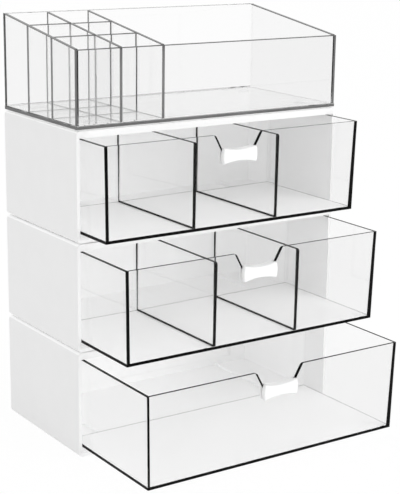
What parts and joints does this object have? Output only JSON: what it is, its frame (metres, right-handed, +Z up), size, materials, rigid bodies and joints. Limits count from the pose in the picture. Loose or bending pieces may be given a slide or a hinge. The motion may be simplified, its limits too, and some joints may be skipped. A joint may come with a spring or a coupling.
{
  "type": "stacking makeup organizer with drawers",
  "caption": "White stacking casings, each with a clear sliding drawer with a finger notch and bow-tie pull, under a clear open-topped tray with sloping sides and small upright cells.",
  "frame": {"origin": "centre of the bottom casing's underside, on the surface it stands on", "axes": "+Z up, -Y towards the front where the drawers open, +X to the right seen from the front"},
  "size_m": [0.24, 0.212, 0.3266],
  "materials": {
    "white_casing": "satin white moulded plastic",
    "clear_drawer": "clear moulded plastic with dark edges",
    "clear_divider": "clear moulded plastic",
    "white_pull": "gloss white",
    "white_stud": "moulded",
    "clear_rubber_pad": "clear soft bumper",
    "clear_tray_sheet": "clear acrylic sheet with polished edges"
  },
  "bodies": {
    "base_unit": {"bottom_casing": "white_casing", "lower_stacking_studs": "white_stud"},
    "middle_unit": {"middle_casing": "white_casing", "upper_stacking_studs": "white_stud"},
    "top_unit": {"top_casing": "white_casing", "tray_pads": "clear_rubber_pad"},
    "bottom_drawer_body": {"bottom_drawer": "clear_drawer", "bottom_drawer_pull": "white_pull"},
    "middle_drawer_body": {"middle_drawer": "clear_drawer", "middle_drawer_pull": "white_pull", "middle_drawer_left_divider": "clear_divider", "middle_drawer_right_divider": "clear_divider"},
    "top_drawer_body": {"top_drawer": "clear_drawer", "top_drawer_pull": "white_pull", "top_drawer_left_divider": "clear_divider", "top_drawer_right_divider": "clear_divider"},
    "tray_body": {"tray_floor": "clear_tray_sheet", "tray_front_wall": "clear_tray_sheet", "tray_back_wall": "clear_tray_sheet", "tray_left_wall": "clear_tray_sheet", "tray_right_wall": "clear_tray_sheet", "tray_left_column_partition": "clear_tray_sheet", "tray_right_column_partition": "clear_tray_sheet", "tray_front_cross_partition": "clear_tray_sheet", "tray_back_cross_partition": "clear_tray_sheet"}
  },
  "joints": [
    {"name": "bottom_drawer_slide", "type": "slide", "parent": "base_unit", "child": "bottom_drawer_body", "axis": [0, -1, 0], "range_m": [-0.091, 0.003]},
    {"name": "middle_drawer_slide", "type": "slide", "parent": "middle_unit", "child": "middle_drawer_body", "axis": [0, -1, 0], "range_m": [-0.062, 0.032]},
    {"name": "top_drawer_slide", "type": "slide", "parent": "top_unit", "child": "top_drawer_body", "axis": [0, -1, 0], "range_m": [-0.033, 0.061]},
    {"name": "middle_unit_lift", "type": "slide", "parent": "base_unit", "child": "middle_unit", "axis": [0, 0, 1], "range_m": [0, 0.03]},
    {"name": "top_unit_lift", "type": "slide", "parent": "middle_unit", "child": "top_unit", "axis": [0, 0, 1], "range_m": [0, 0.03]},
    {"name": "tray_lift", "type": "slide", "parent": "top_unit", "child": "tray_body", "axis": [0, 0, 1], "range_m": [0, 0.05]}
  ]
}
